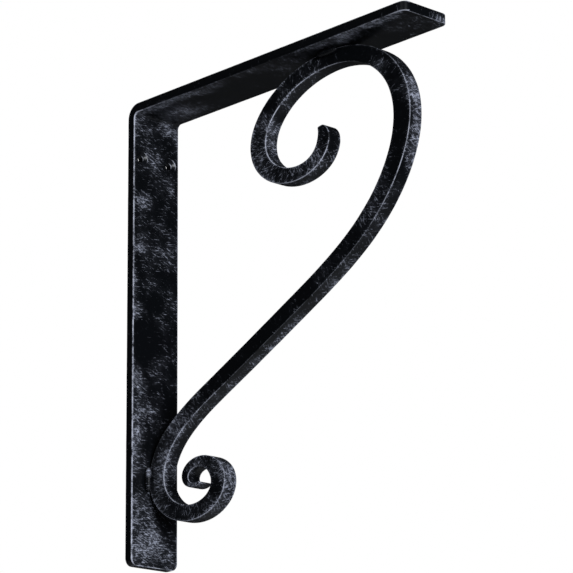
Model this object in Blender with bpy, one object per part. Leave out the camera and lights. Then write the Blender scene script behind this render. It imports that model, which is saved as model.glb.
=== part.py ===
"""Wrought iron bracket: a flat bar bent into a leg and an arm, braced by a forged S-scroll.

Metres, +Z up. The wall plane is Y = 0 and the bracket stands out of it along -Y. X is the width.
The origin is on the back face of the leg, midway between its two screw holes.
"""
import math

import bmesh
import bpy
import numpy as np
from mathutils import Matrix, Vector

MM = 0.001

# Flat bar: the leg against the wall and the arm under the shelf
BAR_WIDTH = 38.1 * MM
BAR_THICK = 6.35 * MM
HEIGHT = 304.8 * MM
PROJECTION = 254.0 * MM
BEND_INSIDE = 3.2 * MM
END_CORNER = 5.0 * MM
BAR_ARRIS = 0.6 * MM

# Two countersunk screw holes side by side near the top of the leg
SCREW_DROP = 36.0 * MM
SCREW_OFFSET = 12.0 * MM
SCREW_HOLE = 4.5 * MM
SCREW_SINK = 9.5 * MM
SINK_DEPTH = 2.0 * MM

# Scroll: one forged bar, thinner at both ends. It is laid out round and then spread away from the
# wall, which makes both curls oval and the upright runs thicker than the level ones.
SPREAD = 1.4
SCROLL_WIDTH = 10.1 * MM
SCROLL_THICK = 10.2 * MM
SCROLL_ARRIS = 0.8 * MM

# Where the bar is drawn thinner: distance from its end, and thickness there, in mm
CURL_THINNING = ((0, 5.4), (10, 7.8), (48, 10.2))
EYE_THINNING = ((75, 10.2), (43, 9.2), (10, 3.7), (0, 1.6))

# The large curl's end is dressed round on its outer side, over this length, down to this share
CURL_DRESS = 7.5 * MM
CURL_DRESS_LEFT = 0.35

# Stages of bending: length in mm, and how sharply the bar bends at the stage's end, as 1 / radius
# in metres. Between ends the bend eases evenly. Minus curls the large end, plus the small end.
SCROLL_HEADING = math.radians(-75.15)
START_BEND = 0
BENDS = (
    (2.1, -39), (20, -60), (25, -42), (25, -35), (30, -21.5),     # inside of the large curl
    (30, -19), (35, -26.5), (40, -16), (40, -9.5),       # over the top and down the front
    (40, -8.5), (60, 0), (60, -0.5),                     # the long diagonal
    (30, 12.5), (30, 26), (25, 39), (25, 51),            # round the heel by the leg
    (20, 64), (15, 65), (15, 108), (20, 180), (3, 230),  # the small curl's eye
)

# Weld beads in the corners between the scroll's sides and the flat bar
BEAD_RADIUS = 1.9 * MM
BEAD_LENGTH = 16 * MM
GAP = 0.3 * MM

BASE_Z = SCREW_DROP - HEIGHT

IRON = (0.012, 0.012, 0.015, 1.0)
IRON_WORN = (0.020, 0.020, 0.025, 1.0)
BEAD_IRON = (0.030, 0.030, 0.036, 1.0)


def clear_scene():
    for obj in list(bpy.data.objects):
        bpy.data.objects.remove(obj, do_unlink=True)


def new_collection(name):
    col = bpy.data.collections.new(name)
    bpy.context.scene.collection.children.link(col)
    return col


def iron(name, colour, roughness):
    mat = bpy.data.materials.new(name)
    mat.use_nodes = True
    bsdf = mat.node_tree.nodes["Principled BSDF"]
    bsdf.inputs["Base Color"].default_value = colour
    bsdf.inputs["Roughness"].default_value = roughness
    bsdf.inputs["Metallic"].default_value = 0.9
    return mat


class Path:
    """A centre line in the bracket's side view, from stages of evenly easing bend."""

    def __init__(self, start, heading, curvature, stages, step=0.1 * MM):
        lengths = np.array([length for length, _ in stages])
        self.bends = np.array([curvature] + [bend for _, bend in stages])
        self.knots = np.concatenate(([0], np.cumsum(lengths)))
        self.length = self.knots[-1]
        gained = (self.bends[1:] + self.bends[:-1]) / 2 * lengths
        self.turns = heading + np.concatenate(([0], np.cumsum(gained)))
        self.s = np.linspace(0, self.length, int(self.length / step) + 1)
        ds = np.diff(self.s)
        mid = self.turn_at((self.s[1:] + self.s[:-1]) / 2)
        self.out = start[0] + np.concatenate(([0], np.cumsum(np.cos(mid) * ds)))
        self.up = start[1] + np.concatenate(([0], np.cumsum(np.sin(mid) * ds)))

    def turn_at(self, s):
        i = np.clip(np.searchsorted(self.knots, s, side="right") - 1, 0, len(self.knots) - 2)
        d = s - self.knots[i]
        span = np.maximum(self.knots[i + 1] - self.knots[i], 1e-9)
        return self.turns[i] + self.bends[i] * d + (self.bends[i + 1] - self.bends[i]) / span * d * d / 2

    def at(self, s):
        return np.interp(s, self.s, self.out), np.interp(s, self.s, self.up), self.turn_at(s)

    def stations(self, max_turn, max_step):
        """Lengths at which the bar is cut into facets, closer together where it bends more."""
        cuts = []
        turn = self.turn_at(self.s)
        last_s, last_t = 0.0, turn[0]
        for s, t in zip(self.s, turn):
            if abs(t - last_t) >= max_turn or s - last_s >= max_step:
                cuts.append(s)
                last_s, last_t = s, t
        return [s for s in cuts if 2 * MM < s < self.length - 2 * MM]


def straight_bar(width, length, thick):
    """A bar along +Y from the origin, before bending: X is its width, Z its thickness."""
    bm = bmesh.new()
    bmesh.ops.create_cube(bm, size=1.0)
    bmesh.ops.transform(bm, verts=bm.verts,
                        matrix=Matrix.Translation((0, length / 2, 0))
                        @ Matrix.Diagonal((width, length, thick, 1)))
    return bm


def bevel(bm, edges, width, segments):
    bmesh.ops.bevel(bm, geom=edges, offset=width, offset_type="OFFSET", segments=segments,
                    profile=0.5, affect="EDGES", clamp_overlap=True)


def bend(bm, path, cuts, drawn=None, spread=1.0):
    """Cut a straight bar into facets, lay it along the path and spread it away from the wall."""
    for s in cuts:
        bmesh.ops.bisect_plane(bm, geom=bm.verts[:] + bm.edges[:] + bm.faces[:], dist=1e-7,
                               plane_co=(0, s, 0), plane_no=(0, 1, 0))
    for v in bm.verts:
        s, n = v.co.y, -v.co.z
        if drawn:
            n = drawn(s, n)
        out, up, turn = path.at(s)
        v.co.y = -spread * (out - n * math.sin(turn))
        v.co.z = up + n * math.cos(turn) + BASE_Z


def finish(bm, name, col, material, smooth=30):
    mesh = bpy.data.meshes.new(name)
    bm.to_mesh(mesh)
    bm.free()
    mesh.materials.append(material)
    mesh.shade_smooth()
    mesh.set_sharp_from_angle(angle=math.radians(smooth))
    obj = bpy.data.objects.new(name, mesh)
    col.objects.link(obj)
    return obj


def make_angle_bar(col, cutters, material):
    """Leg and arm: a flat bar with one bend, rounded corners at both ends and two screw holes."""
    centre_radius = BEND_INSIDE + BAR_THICK / 2
    bend_length = centre_radius * math.pi / 2
    leg = HEIGHT - BAR_THICK - BEND_INSIDE
    arm = PROJECTION - BAR_THICK - BEND_INSIDE
    path = Path((BAR_THICK / 2, 0), math.radians(90), 0,
                ((leg, 0), (0, -1 / centre_radius), (bend_length, -1 / centre_radius),
                 (0, 0), (arm, 0)), step=0.02 * MM)
    bm = straight_bar(BAR_WIDTH, path.length, BAR_THICK)
    corners = [e for e in bm.edges
               if abs((e.verts[0].co - e.verts[1].co).normalized().z) > 0.99]
    bevel(bm, corners, END_CORNER, 4)
    rims = [e for e in bm.edges if e.calc_face_angle(0) > math.radians(60)]
    bevel(bm, rims, BAR_ARRIS, 1)
    steps = 8
    cuts = [leg + bend_length * i / steps for i in range(steps + 1)]
    bend(bm, path, cuts)
    obj = finish(bm, "angle_bar", col, material)

    for side in (-1, 1):
        x = side * SCREW_OFFSET
        drill = cone(cutters, "drill", (x, -BAR_THICK / 2, 0), SCREW_HOLE / 2, SCREW_HOLE / 2,
                     BAR_THICK * 2)
        slope = (SCREW_SINK - SCREW_HOLE) / 2 / SINK_DEPTH
        over = 0.2 * MM
        sink = cone(cutters, "sink", (x, -BAR_THICK + SINK_DEPTH / 2, 0),
                    SCREW_HOLE / 2 - over * slope, SCREW_SINK / 2 + over * slope,
                    SINK_DEPTH + 2 * over)
        for cutter in (drill, sink):
            cut = obj.modifiers.new(cutter.name, "BOOLEAN")
            cut.operation = "DIFFERENCE"
            cut.solver = "EXACT"
            cut.object = cutter
    return obj


def cone(col, name, centre, back_radius, front_radius, depth):
    """A round cutter along Y, its wide end towards the front."""
    bm = bmesh.new()
    bmesh.ops.create_cone(bm, cap_ends=True, segments=32, radius1=back_radius,
                          radius2=front_radius, depth=depth)
    bmesh.ops.rotate(bm, verts=bm.verts, matrix=Matrix.Rotation(math.radians(90), 3, "X"))
    mesh = bpy.data.meshes.new(name)
    bm.to_mesh(mesh)
    bm.free()
    obj = bpy.data.objects.new(name, mesh)
    obj.location = centre
    obj.hide_render = True
    obj.display_type = "WIRE"
    col.objects.link(obj)
    return obj


def make_scroll(col, material):
    """The S-scroll: a nearly square bar, drawn thinner at both ends and bent along its path."""
    path = Path((0, 0), SCROLL_HEADING, START_BEND, [(length * MM, turn) for length, turn in BENDS])
    end = path.length

    def thick_at(s):
        places = [d * MM for d, _ in CURL_THINNING] + [end - d * MM for d, _ in EYE_THINNING]
        return np.interp(s, places, [t * MM for _, t in CURL_THINNING + EYE_THINNING])

    def drawn(s, n):
        thick = thick_at(s)
        short = max(0.0, 1 - s / CURL_DRESS)
        left = CURL_DRESS_LEFT + (1 - CURL_DRESS_LEFT) * math.sqrt(1 - short ** 2)
        return (n * thick / SCROLL_THICK + thick / 2) * left - thick / 2

    # The layout slides until the large curl meets the arm and the small curl's heel meets the leg
    near_end = path.s < end / 2
    half = thick_at(path.s) / 2
    path.up += HEIGHT - BAR_THICK - GAP - np.max(path.up[near_end] + half[near_end])
    path.out += (BAR_THICK + GAP) / SPREAD - np.min(path.out[~near_end] - half[~near_end])

    bm = straight_bar(SCROLL_WIDTH, end, SCROLL_THICK)
    bevel(bm, bm.edges[:], SCROLL_ARRIS, 2)
    dress = [CURL_DRESS * (1 - math.cos(math.radians(angle))) for angle in range(25, 91, 13)]
    cuts = dress + [s for s in path.stations(math.radians(6.5), 20 * MM) if s > CURL_DRESS + MM]
    bend(bm, path, cuts, drawn, SPREAD)
    return finish(bm, "scroll", col, material), path


def bead(col, name, centre, along, material):
    """A short weld bead: a ball stretched along its seam."""
    bm = bmesh.new()
    bmesh.ops.create_uvsphere(bm, u_segments=16, v_segments=10, radius=1.0)
    size = [BEAD_RADIUS] * 3
    size[along] = BEAD_LENGTH / 2
    bmesh.ops.transform(bm, verts=bm.verts,
                        matrix=Matrix.Translation(centre) @ Matrix.Diagonal((*size, 1)))
    return finish(bm, name, col, material, smooth=180)


def make_beads(col, path, material):
    """A bead on each side of the scroll where it touches the arm and where it touches the leg."""
    crown = SPREAD * path.out[np.argmax(path.up)]
    half = path.s < path.length / 2
    heel = path.up[np.argmin(np.where(half, 1.0, path.out))]
    off = SCROLL_WIDTH / 2 + GAP + BEAD_RADIUS
    for side, word in ((-1, "left"), (1, "right")):
        bead(col, "weld_arm_" + word,
             Vector((side * off, -crown, SCREW_DROP - BAR_THICK - GAP - BEAD_RADIUS)), 1, material)
        bead(col, "weld_leg_" + word,
             Vector((side * off, -(BAR_THICK + GAP + BEAD_RADIUS), heel + BASE_Z)), 2, material)


def main():
    clear_scene()
    col = new_collection("wrought_iron_bracket")
    cutters = new_collection("bracket_cutters")
    make_angle_bar(col, cutters, iron("angle_bar_iron", IRON_WORN, 0.45))
    _, path = make_scroll(col, iron("scroll_iron", IRON, 0.42))
    make_beads(col, path, iron("weld_iron", BEAD_IRON, 0.55))
    bpy.context.view_layer.update()


main()
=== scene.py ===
"""Wrought iron bracket with a scroll brace: fine forged surfaces and an antiqued black finish.

Run as a script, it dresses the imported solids, which it loads as a fixed frame, in metres, +Z up.
The wall is the plane Y = 0, the bracket stands out of it along -Y, and X runs across the bars.
"""
import math

import bmesh
import bpy
import numpy as np
from bpy.props import FloatProperty, FloatVectorProperty, PointerProperty, StringProperty
from bpy.types import Operator, Panel, PropertyGroup
from mathutils import Matrix, Vector, noise


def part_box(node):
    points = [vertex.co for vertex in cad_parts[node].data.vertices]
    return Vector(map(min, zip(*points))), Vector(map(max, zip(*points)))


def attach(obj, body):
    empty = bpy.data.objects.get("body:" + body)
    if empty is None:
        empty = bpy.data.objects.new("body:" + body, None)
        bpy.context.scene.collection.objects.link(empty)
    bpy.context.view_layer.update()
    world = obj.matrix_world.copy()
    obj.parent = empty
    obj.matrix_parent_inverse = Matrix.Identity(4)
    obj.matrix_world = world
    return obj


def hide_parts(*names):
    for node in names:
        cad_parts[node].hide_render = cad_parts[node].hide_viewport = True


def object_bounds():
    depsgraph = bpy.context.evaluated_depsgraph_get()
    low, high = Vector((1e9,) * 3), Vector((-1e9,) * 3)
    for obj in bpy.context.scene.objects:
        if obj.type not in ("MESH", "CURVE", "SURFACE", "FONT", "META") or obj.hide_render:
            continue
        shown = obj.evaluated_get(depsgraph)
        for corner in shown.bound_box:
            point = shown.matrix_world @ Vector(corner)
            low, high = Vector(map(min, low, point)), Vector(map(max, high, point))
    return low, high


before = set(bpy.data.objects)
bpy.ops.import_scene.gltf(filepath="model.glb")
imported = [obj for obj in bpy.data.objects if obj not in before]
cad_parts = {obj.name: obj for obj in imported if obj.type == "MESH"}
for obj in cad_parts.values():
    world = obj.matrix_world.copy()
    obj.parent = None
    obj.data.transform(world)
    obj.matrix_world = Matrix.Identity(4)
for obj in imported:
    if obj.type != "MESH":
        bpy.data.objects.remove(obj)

bl_info = {
    "name": "Wrought Iron Scroll Bracket",
    "version": (1, 0, 0),
    "blender": (4, 5, 0),
    "location": "View3D > Sidebar > Bracket",
    "description": "Forges the bracket's bars and welds, gives them their finish, and lights them",
    "category": "Object",
}

MM = 0.001
CAD_LOW, CAD_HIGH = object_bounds()
BAR_LOW, BAR_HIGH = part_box("angle_bar")
SCROLL_LOW, SCROLL_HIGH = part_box("scroll")

# The flat bar's sizes come from its solid; the rest of its form repeats the solid's driving sizes
BAR_WIDTH = BAR_HIGH.x - BAR_LOW.x
BAR_THICK = 6.35 * MM
HEIGHT = BAR_HIGH.z - BAR_LOW.z
PROJECTION = BAR_HIGH.y - BAR_LOW.y
BEND_INSIDE = 3.2 * MM
END_CORNER = 5.0 * MM
SCREW_OFFSET = 12.0 * MM
SCREW_HOLE = 4.5 * MM
SCREW_SINK = 9.5 * MM
SINK_DEPTH = 2.0 * MM

# The scroll's layout: drawn round, then spread away from the wall. It stands clear of the flat
# bar by the gap, which the weld beads bridge.
SPREAD = 1.4
SCROLL_WIDTH = SCROLL_HIGH.x - SCROLL_LOW.x
GAP = 0.3 * MM
# Where the bar is drawn thinner: distance from its end, and thickness there, in mm
CURL_THINNING = ((0, 5.4), (10, 7.8), (48, 10.2))
EYE_THINNING = ((75, 10.2), (43, 9.2), (10, 3.7), (0, 1.6))
# The large curl's end is dressed round on its outer side, over this length, down to this share
CURL_DRESS = 7.5 * MM
CURL_DRESS_LEFT = 0.35
SCROLL_HEADING = math.radians(-75.15)
START_BEND = 0
# Stages of bending: length in mm, and how sharply the bar bends at the stage's end, as 1 / radius
# in metres. Between ends the bend eases evenly. Minus curls the large end, plus the small end.
BENDS = (
    (2.1, -39), (20, -60), (25, -42), (25, -35), (30, -21.5),     # inside of the large curl
    (30, -19), (35, -26.5), (40, -16), (40, -9.5),       # over the top and down the front
    (40, -8.5), (60, 0), (60, -0.5),                     # the long diagonal
    (30, 12.5), (30, 26), (25, 39), (25, 51),            # round the heel by the leg
    (20, 64), (15, 65), (15, 108), (20, 180), (3, 230),  # the small curl's eye
)

# The faint forged unevenness: waves per metre along a bar and round it
BROAD_WAVES = (70, 90)
FINE_WAVES = (230, 260)
# How far in from an arris the rubbing fades out
RUBBED_LIP = 1.3 * MM
# The softening of a countersink's edges, and the depth by which its straight wall starts
RIM_SOFT = 0.15 * MM
RIM_WALL = 0.4 * MM

# How long and how wide a brush fleck is on each piece. A bristle's own mark is about 0.2 mm wide,
# too fine to show, so the flecks are drawn four times as coarse.
BAR_STROKE = (6.5 * MM, 0.8 * MM)
SCROLL_STROKE = (6 * MM, 0.75 * MM)
WELD_STROKE = (3 * MM, 0.9 * MM)
# The two ways the flecks lie, in degrees from the bar's run
BAR_LEANS = (82, -66)
SCROLL_LEANS = (72, -60)
WELD_LEANS = (80, -70)
# Over what distance a stroke's paint thins, a rubbed line breaks, and how deep the brushing lies
PAINT_LOAD = 2.2 * MM
LINE_BREAK = 11 * MM
RELIEF_DEPTH = 0.15 * MM

# How far the floor reaches from its middle, in metres, its colour, and the surround's light
FLOOR_REACH = 3.5
PAPER_HEX = "#F2F2F2"
SURROUND_LIGHT = 0.03

# Where the dry brush was pressed harder or, with a minus, where less grey is laid and the black shows:
# the spot's centre and its reach along X, Y and Z, in mm, and how much cover it adds. A few spots paint
# sheen as grey, marked below
BAR_BRUSHED_AND_SHEEN = (
    ((-8, -6, 10), (11, 4, 13), 0.25), ((7, -6, 24), (14, 4, 4), 0.45),
    ((-11, -6, -27), (8, 4, 6), 0.25), ((6, -6, -15), (9, 4, 8), 0.25),
    ((8, -6, -62), (10, 4, 10), 0.20), ((0, -6, -47), (12, 4, 8), 0.20),
    ((-14, -6, -60), (6, 4, 4), 0.40), ((-18, -6, -85), (3, 4, 9), 0.45),
    ((11, -6, 4), (8, 4, 10), -0.25), ((-10, -6, -14), (6, 4, 7), -0.25),
    ((-9, -6, -121), (10, 4, 11), -0.50), ((-15, -6, -147), (5, 4, 9), 0.50),
    ((-16, -6, -188), (4, 4, 19), 0.45), ((-10, -6, -217), (11, 4, 6), -0.35),
    ((0, -6, -150), (18, 4, 60), -0.12), ((-7, -6, -248), (15, 4, 22), 0.55),
    ((12, -6, -215), (8, 4, 20), -0.25), ((-15, -6, -102), (6, 4, 7), 0.38),
    ((-13, -70, 30), (5, 14, 4), 0.55), ((-14, -122, 30), (4, 18, 4), 0.40),
    ((-14, -190, 30), (7, 15, 4), 0.45), ((-16, -222, 30), (4, 20, 3), 0.80),
    ((-2, -228, 30), (6, 10, 4), 0.20), ((6, -249, 30), (12, 5, 4), 0.35),
    ((-4, -254, 33), (16, 3, 5), -0.30), ((13, -254, 31), (5, 3, 3), 0.50),
    ((6, -90, 30), (16, 40, 4), -0.35), ((-18, -249, 33), (2, 2, 6), 0.80),
    # The second spot here paints the sheen on the arm's underside near the bend as grey
    ((8, -200, 30), (14, 40, 4), -0.25), ((5, -24, 30), (18, 20, 5), 0.40),
    ((-17, -36, 30), (5, 26, 3), 0.60),
)
SCROLL_BRUSHED_AND_SHEEN = (
    # These two spots paint sheen on the front of the scroll's long right run as grey, on top of its
    # brushing
    ((2, -242, -52), (6, 7, 36), 0.55), ((2, -243, -10), (6, 8, 20), 0.38),
    ((1, -116, -10), (6, 6, 13), 0.45), ((-5, -128, -38), (3, 22, 11), 0.12),
    # The second spot here and the first on the next line paint sheen on the small curl's front as grey,
    # on top of its brushing
    ((-5, -172, 22), (3, 16, 8), 0.20), ((1, -78, -222), (7, 6, 15), 0.55),
    ((1, -68, -238), (7, 6, 7), 0.30), ((-5, -15, -227), (4, 9, 18), 0.45),
    ((-5, -19, -205), (4, 8, 14), 0.25), ((-5, -198, 22), (6, 16, 9), -0.70),
    ((-6, -234, -28), (4, 12, 42), -0.25), ((-6, -130, -135), (4, 60, 45), -0.30),
    ((3, -125, -145), (5, 70, 40), 0.30), ((-5, -165, -36), (4, 9, 15), 0.20),
    ((-5, -140, -46), (4, 14, 8), 0.15), ((-5, -60, -241), (4, 30, 8), 0.15),
    ((-5, -84, -215), (4, 9, 18), 0.20), ((-5, -42, -190), (4, 22, 20), 0.30),
    ((-5, -62, -210), (4, 14, 12), 0.25),
)
WELD_BRUSHED = (
    ((-7, -9, -209), (4, 4, 3), 0.70),
)


class Path:
    """A centre line in the bracket's side view, from stages of evenly easing bend."""

    def __init__(self, start, heading, curvature, stages, step=0.1 * MM):
        lengths = np.array([length for length, _ in stages])
        self.bends = np.array([curvature] + [bend for _, bend in stages])
        self.knots = np.concatenate(([0], np.cumsum(lengths)))
        self.length = self.knots[-1]
        gained = (self.bends[1:] + self.bends[:-1]) / 2 * lengths
        self.turns = heading + np.concatenate(([0], np.cumsum(gained)))
        self.s = np.linspace(0, self.length, int(self.length / step) + 1)
        ds = np.diff(self.s)
        mid = self.turn_at((self.s[1:] + self.s[:-1]) / 2)
        self.out = start[0] + np.concatenate(([0], np.cumsum(np.cos(mid) * ds)))
        self.up = start[1] + np.concatenate(([0], np.cumsum(np.sin(mid) * ds)))

    def turn_at(self, s):
        """The heading at a length along the line, in radians."""
        i = np.clip(np.searchsorted(self.knots, s, side="right") - 1, 0, len(self.knots) - 2)
        d = s - self.knots[i]
        span = np.maximum(self.knots[i + 1] - self.knots[i], 1e-9)
        return self.turns[i] + self.bends[i] * d + (self.bends[i + 1] - self.bends[i]) / span * d * d / 2

    def at(self, s):
        """How far out and up the line is at a length along it, and its heading there."""
        return np.interp(s, self.s, self.out), np.interp(s, self.s, self.up), self.turn_at(s)


def bar_section(half_width, half_thick, arris, flats, arc_steps=5):
    """A rounded rectangle: its points, how near each is to an arris, and the way round in metres.

    Each side's flat has a narrow lip at both arrises and the given number of strips between them,
    and each rounded arris is cut into arc steps. The first number of a point is across the bar's
    width, the second through its thickness.
    """
    points = []
    near = []
    corners = ((1, 1), (-1, 1), (-1, -1), (1, -1))
    for k, (sx, sz) in enumerate(corners):
        centre = np.array([sx * (half_width - arris), sz * (half_thick - arris)])
        start = math.radians(90 * k)
        for i in range(arc_steps + 1):
            angle = start + math.radians(90) * i / arc_steps
            points.append(centre + arris * np.array([math.cos(angle), math.sin(angle)]))
            near.append(0.5 + 0.5 * math.sin(math.pi * i / arc_steps))
        following = corners[(k + 1) % 4]
        after = np.array([following[0] * (half_width - arris), following[1] * (half_thick - arris)])
        out = arris * np.array([math.cos(angle), math.sin(angle)])
        first = centre + out
        last = after + out
        run = np.linalg.norm(last - first)
        strips = flats[k % 2]
        lip = RUBBED_LIP / run
        for mark in np.linspace(lip, 1 - lip, strips + 1):
            points.append(first + (last - first) * mark)
            near.append(0.0)
    points = np.array(points)
    steps = np.linalg.norm(np.roll(points, -1, 0) - points, axis=1)
    around = np.concatenate(([0], np.cumsum(steps)))
    return points, np.array(near), around


def end_inset(distance, radius):
    """How far a rounded end has drawn in from the full size, so far from the bar's tip."""
    d = np.clip(distance, 0, radius)
    return radius - np.sqrt(np.maximum(radius ** 2 - (radius - d) ** 2, 0))


def stations(length, step, near_ends, end_steps=14):
    """Lengths at which a bar's section is set, closer together near its two shaped ends."""
    first, last = near_ends
    close = 1 - np.cos(np.linspace(0, math.pi / 2, end_steps))
    middle = np.linspace(first, length - last, int((length - first - last) / step) + 1)
    return np.concatenate((first * close[:-1], middle, (length - last * close[::-1])[1:]))


def forge_bar(name, path, step, half_width, faces_at, arris, flats, corner, tips, near_ends,
              spread=1.0, dents=0.1 * MM, seed=0, rubbed_at=lambda s: 1.0):
    """Sweeps a rounded section along a path and returns the new object.

    faces_at gives the places of the bar's two faces, below and above its centre line. corner is
    the radius of the ends seen from the front, and tips are the radii of the two ends seen from
    the side. near_ends are the lengths at the two ends that have closer sections. spread stretches
    the bar away from the wall. The UV map holds metres along the bar and round its section. The
    arris attribute is how bright the rubbed edges are, from 0 on the flats.
    """
    end = path.length
    s_list = stations(end, step, near_ends)
    low, high = faces_at(end / 2)
    full_thick = high - low
    section, near, around = bar_section(half_width, full_thick / 2, arris, flats)
    count = len(section)
    rows = []
    edge_rows = []
    # Where an end is round from the front, its narrow side runs on round it with no arris
    has_arris = np.abs(section[:, 0]) < half_width - arris / 2 if corner > 0 else np.ones(count)
    for s in s_list:
        tip, d = (tips[0], s) if s < end / 2 else (tips[1], end - s)
        inset = end_inset(d, tip)
        low, high = faces_at(s)
        thick = max(high - low - 2 * inset, 0.2 * MM)
        middle = (low + high) / 2
        width_now = half_width - (end_inset(d, corner) if corner > 0 else inset)
        x = section[:, 0] * width_now / half_width
        n = middle - section[:, 1] * thick / full_thick
        out, up, turn = path.at(s)
        wave = np.array([dent(s, a, dents, seed) for a in around[:-1]])
        side = np.maximum(np.hypot(x, n - middle), 1e-9)
        x = x * (1 + wave / side)
        n = middle + (n - middle) * (1 + wave / side)
        rows.append(np.stack([x, -spread * (out - n * math.sin(turn)),
                              up + n * math.cos(turn) + BAR_LOW.z], 1))
        edge_rows.append(math.sin(math.pi * min(d / tip, 1.0)) * has_arris)
    bm = bmesh.new()
    verts = [[bm.verts.new(p) for p in row] for row in rows]
    uv = bm.loops.layers.uv.new("bar_run")
    for i in range(len(rows) - 1):
        for j in range(count):
            k = (j + 1) % count
            face = bm.faces.new((verts[i][j], verts[i + 1][j], verts[i + 1][k], verts[i][k]))
            runs = (s_list[i], s_list[i + 1], s_list[i + 1], s_list[i])
            turns = (around[j], around[j], around[j + 1], around[j + 1])
            for loop, along, across in zip(face.loops, runs, turns):
                loop[uv].uv = (along, across)
            face.smooth = True
    # The two end faces take their brushing from another part of the pattern
    for row, flip, s in ((verts[0], False, 0.0), (verts[-1], True, end)):
        face = bm.faces.new(row if not flip else row[::-1])
        for loop in face.loops:
            loop[uv].uv = (s + loop.vert.co.x, 0.5 + loop.vert.co.z)
    bar = finished(name, bm)
    wear = bar.data.attributes.new("arris", "FLOAT", "POINT")
    values = np.maximum(near[None, :], edge_rows)
    values[[0, -1]] = 0.0
    values = values * np.array([rubbed_at(s) for s in s_list])[:, None]
    wear.data.foreach_set("value", values.ravel().astype(np.float32))
    return bar


def dent(along, around, depth, seed):
    """The faint unevenness of a bar that was worked hot: metres in, metres out."""
    broad = noise.noise(Vector((along * BROAD_WAVES[0], around * BROAD_WAVES[1], seed)))
    fine = noise.noise(Vector((along * FINE_WAVES[0], around * FINE_WAVES[1], seed + 40)))
    return depth * (0.75 * broad + 0.35 * fine)


def finished(name, bm):
    """Makes the mesh an object of the scene, with its faces out where it is closed."""
    if bm.calc_volume(signed=True) < 0:
        bmesh.ops.reverse_faces(bm, faces=bm.faces)
    mesh = bpy.data.meshes.new(name)
    bm.to_mesh(mesh)
    bm.free()
    obj = bpy.data.objects.new(name, mesh)
    bpy.context.scene.collection.objects.link(obj)
    return obj


def turned_cutter(name, centre, profile, segments=64):
    """A turned cutter along Y. The profile is (radius, distance behind the centre), front first."""
    bm = bmesh.new()
    turns = [math.tau * i / segments for i in range(segments)]
    rings = [[bm.verts.new((radius * math.cos(turn), back, radius * math.sin(turn)))
              for turn in turns] for radius, back in profile]
    for ring, behind in zip(rings, rings[1:]):
        for i in range(segments):
            bm.faces.new((ring[i], ring[i - 1], behind[i - 1], behind[i]))
    bm.faces.new(rings[0])
    bm.faces.new(rings[-1][::-1])
    cutter = finished(name, bm)
    cutter.location = centre
    return cutter


def apply_modifiers(obj):
    """Makes the object's evaluated mesh its own."""
    graph = bpy.context.evaluated_depsgraph_get()
    mesh = bpy.data.meshes.new_from_object(obj.evaluated_get(graph))
    old = obj.data
    obj.modifiers.clear()
    obj.data = mesh
    bpy.data.meshes.remove(old)


def drill_screw_holes(bar):
    """Cuts the two countersunk screw holes. Their softened rims are rubbed a little all round and carry
    a painted highlight in the rubbed-edge grey, brightest at the upper +X.
    """
    hole = SCREW_HOLE / 2
    sink = SCREW_SINK / 2
    slope = (sink - hole) / SINK_DEPTH
    profile = ((sink + 4 * RIM_SOFT, -2 * RIM_SOFT), (sink + RIM_SOFT, 0.0),
               (sink - RIM_SOFT * slope / 2, RIM_SOFT), (sink - RIM_WALL * slope, RIM_WALL),
               (hole + RIM_WALL * slope, SINK_DEPTH - RIM_WALL), (hole, SINK_DEPTH),
               (hole, SINK_DEPTH + RIM_WALL), (hole, 2 * BAR_THICK))
    cutters = [turned_cutter("screw_drill", (side * SCREW_OFFSET, -BAR_THICK, 0), profile)
               for side in (-1, 1)]
    for cutter in cutters:
        cut = bar.modifiers.new(cutter.name, "BOOLEAN")
        cut.operation = "DIFFERENCE"
        cut.solver = "EXACT"
        cut.object = cutter
    bpy.context.view_layer.update()
    apply_modifiers(bar)
    for cutter in cutters:
        bpy.data.objects.remove(cutter, do_unlink=True)
    rims = bar.data.attributes["arris"].data
    for v in bar.data.vertices:
        off = math.hypot(abs(v.co.x) - SCREW_OFFSET, v.co.z)
        deep = v.co.y + BAR_THICK
        if off < sink + 2 * RIM_SOFT and abs(v.co.z) < SCREW_SINK:
            rim = min(abs(deep - RIM_SOFT), abs(deep - SINK_DEPTH)) < RIM_SOFT / 2
            # Painted highlight: the rims are brightened towards the upper +X, the side the light
            # catches, over a little rubbing all round
            highlight_side = (v.co.x - math.copysign(SCREW_OFFSET, v.co.x) + v.co.z / 2) / off
            rims[v.index].value = max(0.15, highlight_side) if rim else 0.0


def brush(obj, spots, flank=0.0):
    """Stores how much more or less grey each point takes, from the spots: brush cover, and at some spots
    painted sheen.

    flank is what the bar's two narrow sides took more or less than the rest.
    """
    count = len(obj.data.vertices)
    co = np.empty(count * 3)
    obj.data.vertices.foreach_get("co", co)
    co = co.reshape(-1, 3)
    normals = np.empty(count * 3)
    obj.data.vertex_normals.foreach_get("vector", normals)
    cover = flank * np.clip((np.abs(normals[::3]) - 0.5) / 0.3, 0, 1)
    # A spot is full within half its reach, and has faded out at one and a half times its reach
    for centre, reach, amount in spots:
        away = np.linalg.norm((co / MM - centre) / np.array(reach), axis=1)
        cover += amount * np.clip(1.5 - away, 0, 1)
    layer = obj.data.attributes.new("brushed_and_sheen", "FLOAT", "POINT")
    layer.data.foreach_set("value", cover.astype(np.float32))


def linear(hex_colour):
    """An sRGB hex colour as linear RGBA."""
    def channel(value):
        return value / 12.92 if value <= 0.04045 else ((value + 0.055) / 1.055) ** 2.4
    values = [int(hex_colour[i:i + 2], 16) / 255 for i in (1, 3, 5)]
    return (*[channel(v) for v in values], 1.0)


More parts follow.
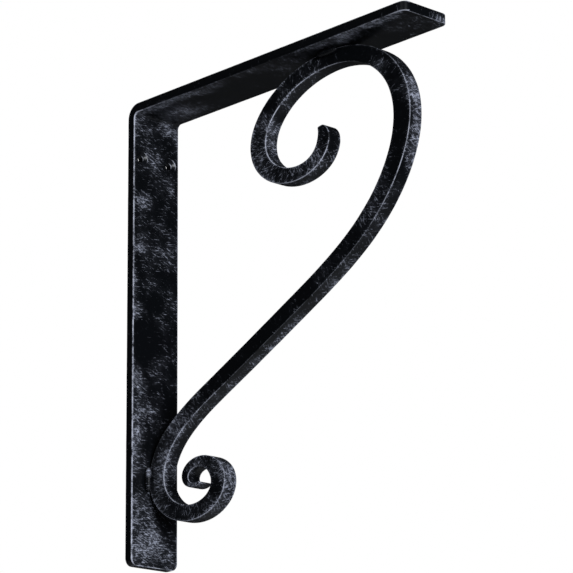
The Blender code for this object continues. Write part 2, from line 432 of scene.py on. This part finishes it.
def add(tree, kind, sockets=None, **settings):
    """Adds a node. A socket, by name or number, takes a value, or what a node or output gives."""
    node = tree.nodes.new(kind)
    for key, value in settings.items():
        setattr(node, key, value)
    for key, value in (sockets or {}).items():
        if isinstance(value, bpy.types.Node):
            value = value.outputs[0]
        if isinstance(value, bpy.types.NodeSocket):
            tree.links.new(value, node.inputs[key])
        else:
            node.inputs[key].default_value = value
    return node


# A Mix node's colour sockets come after those for its other data types
MIX_A = 6
MIX_B = 7
MIX_RESULT = 2


def empty_material(name):
    """A new material and its node tree, with no node yet."""
    mat = bpy.data.materials.new(name)
    mat.use_nodes = True
    mat.node_tree.nodes.clear()
    return mat, mat.node_tree


def antiqued_iron(name, look, stroke_size, leans):
    """Mild steel in black enamel, dry-brushed with silver-grey and rubbed at its edges.

    The enamel is near black and half glossy, so it stays dark where no light is mirrored. The dry
    brush only catches the high spots: it leaves fine broken strokes across the bar, which gather
    in cloudy patches, and a thin broken light line on every arris. stroke_size is how long and how
    wide a brush fleck is, in metres, and leans are the two ways they lie, in degrees from the
    bar's run.
    """
    mat, tree = empty_material(name)
    run = add(tree, "ShaderNodeUVMap", uv_map="bar_run")
    place = add(tree, "ShaderNodeTexCoord").outputs["Object"]
    brushed_and_sheen = add(tree, "ShaderNodeAttribute", attribute_name="brushed_and_sheen").outputs["Fac"]
    arris = add(tree, "ShaderNodeAttribute", attribute_name="arris").outputs["Fac"]
    long, wide = stroke_size

    # Two crossing sets of strokes, from different parts of the pattern
    sets = []
    for lean, shift in zip(leans, (0.0, 0.37)):
        turned = add(tree, "ShaderNodeMapping",
                     {"Vector": run, "Rotation": (0, 0, math.radians(lean)),
                      "Location": (shift, 0, 0)})
        drawn = add(tree, "ShaderNodeMapping", {"Vector": turned, "Scale": (wide / long, 1, 1)})
        sets.append(add(tree, "ShaderNodeTexNoise", {"Vector": drawn, "Scale": 1 / wide,
                                                     "Detail": 3.0, "Roughness": 0.65,
                                                     "Distortion": 0.3}))
    flecks = add(tree, "ShaderNodeMath", {0: sets[0], 1: sets[1]}, operation="MAXIMUM")

    # Cover is how much of the grey the surface took: cloudy, more where the brush was pressed or where
    # painted sheen is laid as grey, and more beside an arris, which the brush drags over
    cloud = add(tree, "ShaderNodeTexNoise", {"Vector": place, "Scale": 1 / look.patch,
                                             "Detail": 5.0, "Roughness": 0.65})
    cloudy = add(tree, "ShaderNodeMapRange", {"Value": cloud, "From Min": 0.35, "From Max": 0.65,
                                              "To Min": -0.05, "To Max": 0.65}, clamp=False)
    caught = add(tree, "ShaderNodeMath", {0: arris, 1: 0.6, 2: brushed_and_sheen}, operation="MULTIPLY_ADD")
    cover = add(tree, "ShaderNodeMath", {0: cloudy, 1: caught}, operation="ADD",
                use_clamp=True)

    # More cover lets fainter strokes show
    least = add(tree, "ShaderNodeMapRange", {"Value": cover, "To Min": look.sparse,
                                             "To Max": look.dense})
    most = add(tree, "ShaderNodeMath", {0: least, 1: look.softness}, operation="ADD")
    marks = add(tree, "ShaderNodeMapRange", {"Value": flecks, "From Min": least, "From Max": most},
                interpolation_type="SMOOTHSTEP")
    strong = add(tree, "ShaderNodeMapRange", {"Value": cover, "To Min": 0.4, "To Max": 1.0})
    # Each stroke carries more or less paint
    paint = add(tree, "ShaderNodeTexNoise", {"Vector": place, "Scale": 1 / PAINT_LOAD,
                                             "Detail": 3.0, "Roughness": 0.7})
    load = add(tree, "ShaderNodeMapRange", {"Value": paint, "From Min": 0.4, "From Max": 0.62,
                                            "To Min": 0.12, "To Max": 1.0})
    loaded = add(tree, "ShaderNodeMath", {0: marks, 1: load}, operation="MULTIPLY")
    stroke = add(tree, "ShaderNodeMath", {0: loaded, 1: strong}, operation="MULTIPLY")
    square = add(tree, "ShaderNodeMath", {0: cover, 1: 2.0}, operation="POWER")
    haze = add(tree, "ShaderNodeMath", {0: square, 1: look.haze}, operation="MULTIPLY")
    grey = add(tree, "ShaderNodeMath", {0: stroke, 1: haze}, operation="MAXIMUM")

    # The rubbed line on each arris is broken about every centimetre
    gaps = add(tree, "ShaderNodeTexNoise", {"Vector": place, "Scale": 1 / LINE_BREAK,
                                            "Detail": 6.0, "Roughness": 0.8})
    whole = add(tree, "ShaderNodeMapRange", {"Value": gaps, "From Min": 0.42, "From Max": 0.56,
                                             "To Min": 0.0, "To Max": 1.0})
    line = add(tree, "ShaderNodeMapRange", {"Value": arris, "From Min": 0.4, "From Max": 0.95},
               interpolation_type="SMOOTHSTEP")
    # This line also carries the painted highlight on the countersink rims
    rubbed_and_highlight = add(tree, "ShaderNodeMath", {0: line, 1: whole}, operation="MULTIPLY")

    painted = add(tree, "ShaderNodeMix", {0: grey, MIX_A: linear(look.enamel_hex),
                                          MIX_B: linear(look.brush_hex)}, data_type="RGBA")
    worn = add(tree, "ShaderNodeMix", {0: rubbed_and_highlight, MIX_A: painted.outputs[MIX_RESULT],
                                       MIX_B: linear(look.edge_and_highlight_hex)}, data_type="RGBA")

    # Brushed places and every arris are duller than the bare enamel
    dull = add(tree, "ShaderNodeMath", {0: grey, 1: line}, operation="MAXIMUM")
    rough = add(tree, "ShaderNodeMapRange", {"Value": dull, "To Min": look.roughness,
                                             "To Max": look.roughness + 0.4})
    relief = add(tree, "ShaderNodeBump", {"Height": flecks, "Strength": look.relief,
                                          "Distance": RELIEF_DEPTH})
    surface = add(tree, "ShaderNodeBsdfPrincipled",
                  {"Base Color": worn.outputs[MIX_RESULT], "Roughness": rough, "Normal": relief,
                   "Metallic": 0.0, "Specular IOR Level": look.gloss})
    add(tree, "ShaderNodeOutputMaterial", {"Surface": surface})
    return mat


class BarSettings(PropertyGroup):
    """The bent flat bar."""
    arris: FloatProperty(name="Arris", description="Radius of the bar's rounded edges",
                         default=0.7 * MM, min=0.2 * MM, max=2 * MM, unit="LENGTH")
    dents: FloatProperty(name="Unevenness", description="Depth of the bar's hammer marks",
                         default=0.08 * MM, min=0, max=0.5 * MM, unit="LENGTH")


class ScrollSettings(PropertyGroup):
    """The forged scroll."""
    arris: FloatProperty(name="Arris", description="Radius of the scroll's rounded edges",
                         default=0.5 * MM, min=0.2 * MM, max=2 * MM, unit="LENGTH")
    curl_tip: FloatProperty(name="Curl tip", description="Radius of the large curl's tip",
                            default=1.2 * MM, min=0.3 * MM, max=3 * MM, unit="LENGTH")
    eye_tip: FloatProperty(name="Eye tip", description="Radius of the small curl's tip",
                           default=0.7 * MM, min=0.3 * MM, max=3 * MM, unit="LENGTH")
    dents: FloatProperty(name="Unevenness", description="Depth of the scroll's hammer marks",
                         default=0.1 * MM, min=0, max=0.5 * MM, unit="LENGTH")


class WeldSettings(PropertyGroup):
    """The small weld beads."""
    ripple: FloatProperty(name="Ripple", description="Depth of the beads' ripples",
                          default=0.18 * MM, min=0, max=0.5 * MM, unit="LENGTH")
    pitch: FloatProperty(name="Ripple pitch", description="Distance between two ripples",
                         default=1.4 * MM, min=0.5 * MM, max=4 * MM, unit="LENGTH")


class FinishSettings(PropertyGroup):
    """The antiqued black finish."""
    enamel_hex: StringProperty(name="Enamel", description="Black enamel, as sRGB hex",
                               default="#050608")
    brush_hex: StringProperty(name="Dry brush", description="Silver-grey brushed on, as sRGB hex",
                              default="#8D909C")
    # This grey paints the rubbed edges and also the painted highlight on the countersink rims
    edge_and_highlight_hex: StringProperty(name="Rubbed edge", description="Rubbed edges, as sRGB hex",
                             default="#A0A2AC")
    patch: FloatProperty(name="Patch", description="Size of the cloudy patches of grey",
                         default=20 * MM, min=5 * MM, max=100 * MM, unit="LENGTH")
    sparse: FloatProperty(name="Sparse", description="Least fleck that shows where cover is thin",
                          default=0.67, min=0, max=1, subtype="FACTOR")
    dense: FloatProperty(name="Dense", description="Least fleck that shows where cover is full",
                         default=0.48, min=0, max=1, subtype="FACTOR")
    softness: FloatProperty(name="Softness", description="Softness of the flecks' edges",
                            default=0.06, min=0.01, max=0.5, subtype="FACTOR")
    haze: FloatProperty(name="Haze", description="Thin even grey where cover is full",
                        default=0.07, min=0, max=1, subtype="FACTOR")
    roughness: FloatProperty(name="Roughness", description="Roughness of the bare enamel",
                             default=0.28, min=0, max=1, subtype="FACTOR")
    gloss: FloatProperty(name="Gloss", description="Specular level of the enamel",
                         default=0.2, min=0, max=1, subtype="FACTOR")
    relief: FloatProperty(name="Relief", description="Strength of the brushed relief",
                          default=0.3, min=0, max=1, subtype="FACTOR")


class StageSettings(PropertyGroup):
    """Floor, lights and camera."""
    floor_drop: FloatProperty(name="Floor drop", description="Floor's distance below the origin",
                              default=2.2, min=0.5, max=5, unit="LENGTH")
    key: FloatProperty(name="Key light", description="Power of the soft light from the front",
                       default=72, min=0, max=500, unit="POWER")
    side: FloatProperty(name="Side light", description="Power of the soft light from the side",
                        default=4, min=0, max=500, unit="POWER")
    back: FloatProperty(name="Back light", description="Power of the soft light from behind",
                        default=45, min=0, max=500, unit="POWER")
    camera: FloatVectorProperty(name="Camera", description="Where the camera stands",
                                default=(-1.136, -1.342, -0.583), subtype="XYZ", unit="LENGTH")
    aim: FloatVectorProperty(name="Aim", description="Where the camera points",
                             default=(0.0, -0.1299, -0.1109), subtype="XYZ", unit="LENGTH")
    roll: FloatProperty(name="Roll", description="How far the camera leans",
                        default=math.radians(-0.49), subtype="ANGLE")
    lens: FloatProperty(name="Lens", description="Focal length", default=176.95, min=1,
                        unit="CAMERA")


class BRACKET_OT_flat_bar(Operator):
    """Forge the flat bar that is both leg and arm, with its bend and its two screw holes"""
    bl_idname = "bracket.flat_bar"
    bl_label = "Leg and arm"

    def execute(self, context):
        look = context.scene.bracket_bar
        centre_radius = BEND_INSIDE + BAR_THICK / 2
        leg = HEIGHT - BAR_THICK - BEND_INSIDE
        arm = PROJECTION - BAR_THICK - BEND_INSIDE
        bend = centre_radius * math.pi / 2
        stages = ((leg, 0), (0, -1 / centre_radius), (bend, -1 / centre_radius), (0, 0), (arm, 0))
        path = Path((BAR_THICK / 2, 0), math.radians(90), 0, stages, step=0.02 * MM)
        half = BAR_THICK / 2
        arm_start = path.length - arm

        def rubbed_at(s):
            """The leg is rubbed all along, the arm mostly towards its end."""
            return float(np.interp(s, (arm_start - 0.01, arm_start + 0.02, arm_start + 0.13,
                                       path.length), (1.0, 0.6, 0.3, 0.75)))

        bar = forge_bar("flat_bar", path, 1.6 * MM, BAR_WIDTH / 2, lambda s: (-half, half),
                        look.arris, (18, 4), END_CORNER, (look.arris, look.arris),
                        (END_CORNER, END_CORNER), dents=look.dents, seed=3, rubbed_at=rubbed_at)
        drill_screw_holes(bar)
        bar.data.set_sharp_from_angle(angle=math.radians(40))
        brush(bar, BAR_BRUSHED_AND_SHEEN, flank=-0.8)
        bar.data.materials.append(antiqued_iron(
            "dry_brushed_black_enamel_bar", context.scene.bracket_finish, BAR_STROKE, BAR_LEANS))
        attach(bar, "root")
        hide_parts("angle_bar")
        return {"FINISHED"}


def scroll_thick(s, end):
    """The scroll's thickness, at any length along it."""
    places = [d * MM for d, _ in CURL_THINNING] + [end - d * MM for d, _ in EYE_THINNING]
    return np.interp(s, places, [t * MM for _, t in CURL_THINNING + EYE_THINNING])


def scroll_path():
    """The scroll's centre line, slid until the curls meet the arm and the leg."""
    path = Path((0, 0), SCROLL_HEADING, START_BEND, [(length * MM, turn) for length, turn in BENDS])
    near_end = path.s < path.length / 2
    half = scroll_thick(path.s, path.length) / 2
    path.up += HEIGHT - BAR_THICK - GAP - np.max(path.up[near_end] + half[near_end])
    path.out += (BAR_THICK + GAP) / SPREAD - np.min(path.out[~near_end] - half[~near_end])
    return path


class BRACKET_OT_scroll(Operator):
    """Forge the S-scroll that braces the arm"""
    bl_idname = "bracket.scroll"
    bl_label = "Scroll"

    def execute(self, context):
        look = context.scene.bracket_scroll
        path = scroll_path()

        def faces_at(s):
            """The scroll's two faces: the outer one comes in round the large curl's end."""
            half = scroll_thick(s, path.length) / 2
            short = max(0.0, 1 - s / CURL_DRESS)
            left = CURL_DRESS_LEFT + (1 - CURL_DRESS_LEFT) * math.sqrt(1 - short ** 2)
            return -half, half * (2 * left - 1)

        def rubbed_at(s):
            """The curls are rubbed bright, and the long diagonal less."""
            return float(np.interp(s, (0.12, 0.17, 0.25, 0.30, 0.39, 0.43),
                                   (0.9, 0.6, 0.8, 0.55, 0.55, 0.8)))

        scroll = forge_bar("scroll_bar", path, 0.9 * MM, SCROLL_WIDTH / 2, faces_at, look.arris,
                           (5, 5), 0, (look.curl_tip, look.eye_tip), (CURL_DRESS, 2 * MM),
                           spread=SPREAD, dents=look.dents, seed=11, rubbed_at=rubbed_at)
        scroll.data.set_sharp_from_angle(angle=math.radians(60))
        brush(scroll, SCROLL_BRUSHED_AND_SHEEN)
        scroll.data.materials.append(antiqued_iron(
            "dry_brushed_black_enamel_scroll", context.scene.bracket_finish, SCROLL_STROKE,
            SCROLL_LEANS))
        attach(scroll, "root")
        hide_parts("scroll")
        return {"FINISHED"}


class BRACKET_OT_welds(Operator):
    """Lay the small rippled weld beads between the scroll and the flat bar"""
    bl_idname = "bracket.welds"
    bl_label = "Weld beads"

    def execute(self, context):
        look = context.scene.bracket_weld
        material = antiqued_iron("dry_brushed_black_enamel_weld", context.scene.bracket_finish,
                                 WELD_STROKE, WELD_LEANS)
        for node in ("weld_arm_left", "weld_arm_right", "weld_leg_left", "weld_leg_right"):
            bead = weld_bead(node, look)
            bead.data.materials.append(material)
            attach(bead, "root")
            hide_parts(node)
        return {"FINISHED"}


def weld_bead(node, look):
    """A bead of the size of its solid, with ripples across its length."""
    low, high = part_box(node)
    centre = (low + high) / 2
    size = (high - low) / 2
    along = 1 if size.y > size.z else 2
    bm = bmesh.new()
    bmesh.ops.create_uvsphere(bm, u_segments=40, v_segments=72, radius=1.0)
    if along == 1:
        bmesh.ops.rotate(bm, verts=bm.verts, matrix=Matrix.Rotation(math.radians(90), 3, "X"))
    uv = bm.loops.layers.uv.new("bar_run")
    # The sphere is made fuller towards its ends, as a laid bead is, before it is rippled
    for v in bm.verts:
        t = v.co[along]
        body = (1 - abs(t) ** 3) ** 0.5 / max((1 - t * t) ** 0.5, 1e-6) if abs(t) < 0.999 else 1.0
        ripple = 1 + look.ripple / size.x * math.sin(t * size[along] / look.pitch * 2 * math.pi)
        v.co = Vector([c * (size[i] if i == along else size[i] * body * ripple)
                       for i, c in enumerate(v.co)]) + centre
    for face in bm.faces:
        face.smooth = True
        for loop in face.loops:
            loop[uv].uv = (loop.vert.co[along], loop.vert.co.x + loop.vert.co[3 - along])
    bead = finished(node + "_bead", bm)
    bead.data.attributes.new("arris", "FLOAT", "POINT")
    brush(bead, WELD_BRUSHED)
    return bead


class BRACKET_OT_stage(Operator):
    """Set the pale floor, the soft studio lights and the camera"""
    bl_idname = "bracket.stage"
    bl_label = "Stage"

    def execute(self, context):
        look = context.scene.bracket_stage
        floor = make_floor(look.floor_drop)
        make_world()
        soft_light("key_light", (-0.75, -2.1, -0.15), 0.9, look.key)
        soft_light("side_light", (-1.9, -0.6, 0.5), 1.2, look.side)
        soft_light("back_light", (0.1, 1.2, 2.4), 1.4, look.back)
        make_camera(look)
        context.scene.view_settings.view_transform = "Standard"
        return {"FINISHED"}


def make_floor(drop):
    """Matt white studio paper, far enough below to leave the low camera above it.

    It scatters the lights evenly, so the iron's undersides mirror a plain pale field.
    """
    bm = bmesh.new()
    bmesh.ops.create_grid(bm, x_segments=1, y_segments=1, size=FLOOR_REACH)
    floor = finished("floor", bm)
    floor.location.z = -drop
    mat, tree = empty_material("matt_white_paper")
    surface = add(tree, "ShaderNodeBsdfPrincipled",
                  {"Base Color": linear(PAPER_HEX), "Roughness": 0.9})
    add(tree, "ShaderNodeOutputMaterial", {"Surface": surface})
    floor.data.materials.append(mat)
    return floor


def make_world():
    """A white surround, which the camera sees in full and the part only faintly."""
    world = bpy.data.worlds.new("white_surround")
    bpy.context.scene.world = world
    world.use_nodes = True
    tree = world.node_tree
    tree.nodes.clear()
    seen = add(tree, "ShaderNodeBackground", {"Color": (1, 1, 1, 1), "Strength": 1.0})
    lit = add(tree, "ShaderNodeBackground", {"Color": (0.86, 0.9, 1, 1),
                                            "Strength": SURROUND_LIGHT})
    path = add(tree, "ShaderNodeLightPath")
    mix = add(tree, "ShaderNodeMixShader", {"Fac": path.outputs["Is Camera Ray"], 1: lit, 2: seen})
    add(tree, "ShaderNodeOutputWorld", {"Surface": mix})


def soft_light(name, place, size, power):
    """A square soft box that points at the bracket's middle."""
    light = bpy.data.lights.new(name, "AREA")
    light.shape = "SQUARE"
    light.size = size
    light.energy = power
    light.color = (0.9, 0.94, 1.0)
    obj = bpy.data.objects.new(name, light)
    obj.location = place
    aim = (Vector(CAD_LOW) + Vector(CAD_HIGH)) / 2
    obj.rotation_euler = (aim - Vector(place)).to_track_quat("-Z", "Y").to_euler()
    bpy.context.scene.collection.objects.link(obj)


def make_camera(look):
    """A long lens below and to the left of the bracket, looking up at it."""
    data = bpy.data.cameras.new("camera")
    data.lens = look.lens
    data.sensor_width = 36
    data.clip_end = 100
    camera = bpy.data.objects.new("camera", data)
    place = Vector(look.camera)
    turn = (Vector(look.aim) - place).to_track_quat("-Z", "Y")
    lean = Matrix.Rotation(look.roll, 4, "Z")
    camera.matrix_world = Matrix.Translation(place) @ turn.to_matrix().to_4x4() @ lean
    bpy.context.scene.collection.objects.link(camera)
    bpy.context.scene.camera = camera


class BRACKET_PT_panel(Panel):
    """The bracket's settings and steps"""
    bl_idname = "BRACKET_PT_panel"
    bl_label = "Wrought iron bracket"
    bl_space_type = "VIEW_3D"
    bl_region_type = "UI"
    bl_category = "Bracket"

    def draw(self, context):
        for pointer, operator in STEPS:
            box = self.layout.box()
            settings = getattr(context.scene, pointer)
            for prop in settings.bl_rna.properties:
                if prop.identifier not in ("rna_type", "name"):
                    box.prop(settings, prop.identifier)
            if operator:
                box.operator(operator)


STEPS = (
    ("bracket_finish", None),
    ("bracket_bar", "bracket.flat_bar"),
    ("bracket_scroll", "bracket.scroll"),
    ("bracket_weld", "bracket.welds"),
    ("bracket_stage", "bracket.stage"),
)
GROUPS = {
    "bracket_bar": BarSettings,
    "bracket_scroll": ScrollSettings,
    "bracket_weld": WeldSettings,
    "bracket_finish": FinishSettings,
    "bracket_stage": StageSettings,
}
CLASSES = (*GROUPS.values(), BRACKET_OT_flat_bar, BRACKET_OT_scroll, BRACKET_OT_welds,
           BRACKET_OT_stage, BRACKET_PT_panel)


def register():
    for cls in CLASSES:
        bpy.utils.register_class(cls)
    for pointer, group in GROUPS.items():
        setattr(bpy.types.Scene, pointer, PointerProperty(type=group))


def unregister():
    for pointer in GROUPS:
        delattr(bpy.types.Scene, pointer)
    for cls in reversed(CLASSES):
        bpy.utils.unregister_class(cls)


def main():
    register()
    bpy.ops.bracket.stage()
    bpy.ops.bracket.flat_bar()
    bpy.ops.bracket.scroll()
    bpy.ops.bracket.welds()


if __name__ == "__main__":
    main()
